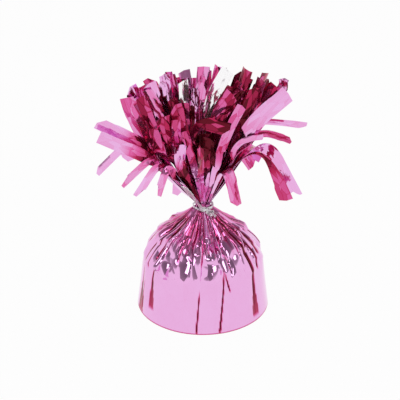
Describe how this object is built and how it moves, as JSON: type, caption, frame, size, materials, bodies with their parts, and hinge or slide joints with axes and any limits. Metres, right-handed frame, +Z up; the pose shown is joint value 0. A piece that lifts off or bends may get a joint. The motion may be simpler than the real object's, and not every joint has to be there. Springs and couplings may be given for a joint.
{
  "type": "balloon weight",
  "caption": "Domed balloon weight wrapped in metallic pink film, gathered by a twist tie into a fringed plume that bends at the neck; a balloon ribbon ties on there.",
  "frame": {"origin": "centre of the round underside, on the surface that the weight stands on", "axes": "+Z up through the dome, the tie and the plume; -Y is the front of the picture, +X its right"},
  "size_m": [0.1107, 0.0775, 0.1297],
  "materials": {
    "film": "metallised mirror film",
    "tie_film": "silver metallised",
    "wire": "drawn",
    "cup": "moulded",
    "plaster": "cast, matte",
    "card": "matte"
  },
  "bodies": {
    "base": {"base_card": "card", "weight_cup": "cup", "plaster_weight": "plaster", "foil_wrap": "film", "tie_wire": "wire", "tie_jacket": "tie_film"},
    "neck": {"neck_gather": "film"},
    "plume": {"fringe_loose": "film", "fringe_outer": "film", "fringe_lower": "film", "fringe_middle": "film", "fringe_upper": "film", "fringe_core": "film"}
  },
  "joints": [
    {"name": "neck_lean_front", "type": "hinge", "parent": "base", "child": "neck", "pos_m": [0, 0, 0.0576], "axis": [1, 0, 0], "range_deg": [-15, 15], "stiffness_Nm_per_rad": 0.03},
    {"name": "plume_lean_side", "type": "hinge", "parent": "neck", "child": "plume", "pos_m": [0, 0, 0.0576], "axis": [0, 1, 0], "range_deg": [-15, 15], "stiffness_Nm_per_rad": 0.03}
  ]
}
